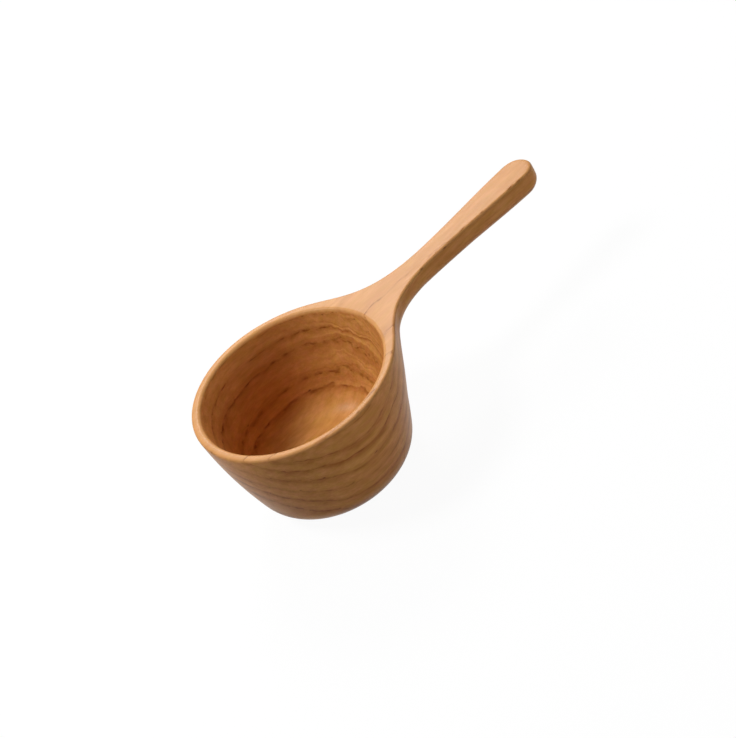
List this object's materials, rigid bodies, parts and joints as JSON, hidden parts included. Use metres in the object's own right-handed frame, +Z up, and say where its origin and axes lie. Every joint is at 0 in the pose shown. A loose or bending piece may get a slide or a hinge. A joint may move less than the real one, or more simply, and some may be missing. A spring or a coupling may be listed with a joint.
{
  "type": "coffee measuring spoon",
  "caption": "Wooden coffee scoop: a round, thick-walled cup with a flat foot and a slim flat-topped handle that leaves the rim level and swells to a rounded tip.",
  "frame": {"origin": "middle of the cup's flat underside, on the surface that the spoon stands on", "axes": "+Z up along the cup's axis, +X along the handle from the cup to the tip, +Y to the handle's left"},
  "size_m": [0.1099, 0.0518, 0.0314],
  "materials": {
    "wood": "fine-grained teak-like wood, sanded and oiled to a satin sheen"
  },
  "bodies": {
    "root": {"bowl": "wood", "handle": "wood"}
  },
  "joints": []
}
